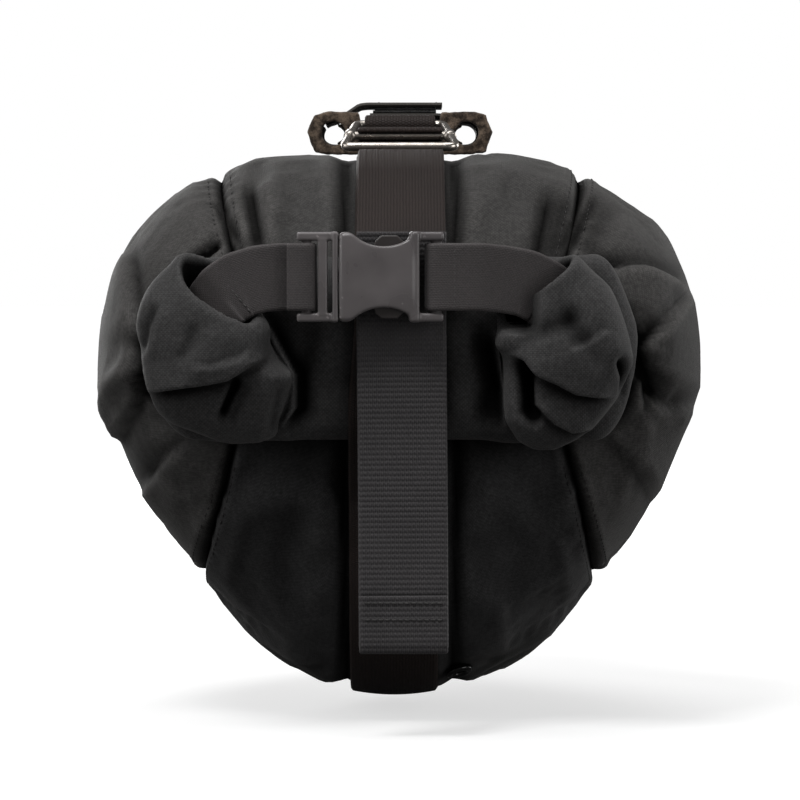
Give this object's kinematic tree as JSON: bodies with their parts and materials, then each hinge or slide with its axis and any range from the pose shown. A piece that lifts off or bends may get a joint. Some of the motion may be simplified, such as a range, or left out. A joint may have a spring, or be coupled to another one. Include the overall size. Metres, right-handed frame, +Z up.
{
  "type": "saddle bag",
  "caption": "Roll-top saddle bag that tapers to the seatpost, with a buckled roll, a compression strap through a wire ladder lock, and hook-and-loop mounts.",
  "frame": {"origin": "on the seatpost's axis, at mid height of the strap that wraps it", "axes": "+X to the right seen from behind the bicycle, +Y towards the front of the bicycle, +Z up"},
  "size_m": [0.184, 0.2947, 0.1926],
  "materials": {
    "shell": "black, coated woven nylon with a faint sheen",
    "shell_low": "black, coated woven nylon, darker and glossier",
    "lining": "grey coated ripstop",
    "stiffener": "black sheet plastic",
    "tape": "black binding tape",
    "webbing": "black ribbed nylon webbing",
    "closure_webbing": "charcoal woven webbing",
    "buckle": "dark grey moulded plastic, softly worn",
    "steel": "bent steel wire, slightly tarnished",
    "yoke": "black rubberised webbing",
    "spacer": "mottled dark brown",
    "loop": "black loop pile",
    "hook": "black hooks",
    "grip": "black ribbed rubber",
    "eyelet": "black, polished"
  },
  "bodies": {
    "bag": {"top_panel": "shell", "side_panel_left": "shell", "side_panel_right": "shell", "base_panel": "shell_low", "nose_panel": "shell_low", "liner": "lining", "base_stiffener": "stiffener", "nose_stiffener": "stiffener", "seam_tape_left": "tape", "seam_tape_right": "tape", "roll_closure": "shell", "collar_stiffener": "stiffener", "closure_strap_left": "closure_webbing", "closure_strap_right": "closure_webbing", "buckle_plug": "buckle", "compression_strap": "webbing", "anchor_loop": "webbing", "rail_strap": "yoke", "rail_spacer": "spacer", "rail_loop_patch": "loop", "post_strap": "webbing", "post_loop_patch": "loop", "post_pad": "grip", "drain_eyelet": "eyelet", "eyelet_washer": "eyelet"},
    "socket": {"buckle_socket": "buckle"},
    "upper_arm": {"plug_arm_upper": "buckle"},
    "lower_arm": {"plug_arm_lower": "buckle"},
    "tail": {"strap_tail": "webbing"},
    "ladder_lock": {"ladder_lock_frame": "steel", "ladder_lock_bar": "steel"},
    "post_flap": {"post_strap_flap": "webbing", "post_hook_patch": "hook"},
    "rail_flap": {"rail_strap_flap": "yoke", "rail_hook_patch": "hook"}
  },
  "joints": [
    {"name": "buckle_release", "type": "slide", "parent": "bag", "child": "socket", "axis": [1, 0, 0], "range_m": [0, 0.024], "deforming": ["closure_strap_right", "plug_arm_upper", "plug_arm_lower"]},
    {"name": "arm_squeeze_upper", "type": "hinge", "parent": "bag", "child": "upper_arm", "pos_m": [-0.0166, -0.2582, 0.0809], "axis": [0, 1, 0], "range_deg": [0, 7], "stiffness_Nm_per_rad": 0.002},
    {"name": "arm_squeeze_lower", "type": "hinge", "parent": "bag", "child": "lower_arm", "pos_m": [-0.0166, -0.2582, 0.0681], "axis": [0, -1, 0], "range_deg": [0, 7], "stiffness_Nm_per_rad": 0.002},
    {"name": "strap_adjust", "type": "slide", "parent": "bag", "child": "tail", "axis": [0, 0, -1], "range_m": [0, 0.024]},
    {"name": "ladder_lock_tilt", "type": "hinge", "parent": "bag", "child": "ladder_lock", "pos_m": [0, -0.1255, 0.1247], "axis": [-1, 0, 0], "range_deg": [0, 35], "deforming": ["compression_strap"]},
    {"name": "post_strap_open", "type": "hinge", "parent": "bag", "child": "post_flap", "pos_m": [-0.0165, 0.00951, 0.00282], "axis": [0, -0.284, 0.9588], "range_deg": [0, 110]},
    {"name": "rail_strap_open", "type": "hinge", "parent": "bag", "child": "rail_flap", "pos_m": [-0.02476, -0.0925, 0.12579], "axis": [0, -1, 0], "range_deg": [0, 100]}
  ],
  "couplings": [
    {"joint": "arm_squeeze_lower", "follows": "arm_squeeze_upper", "ratio": 1}
  ]
}
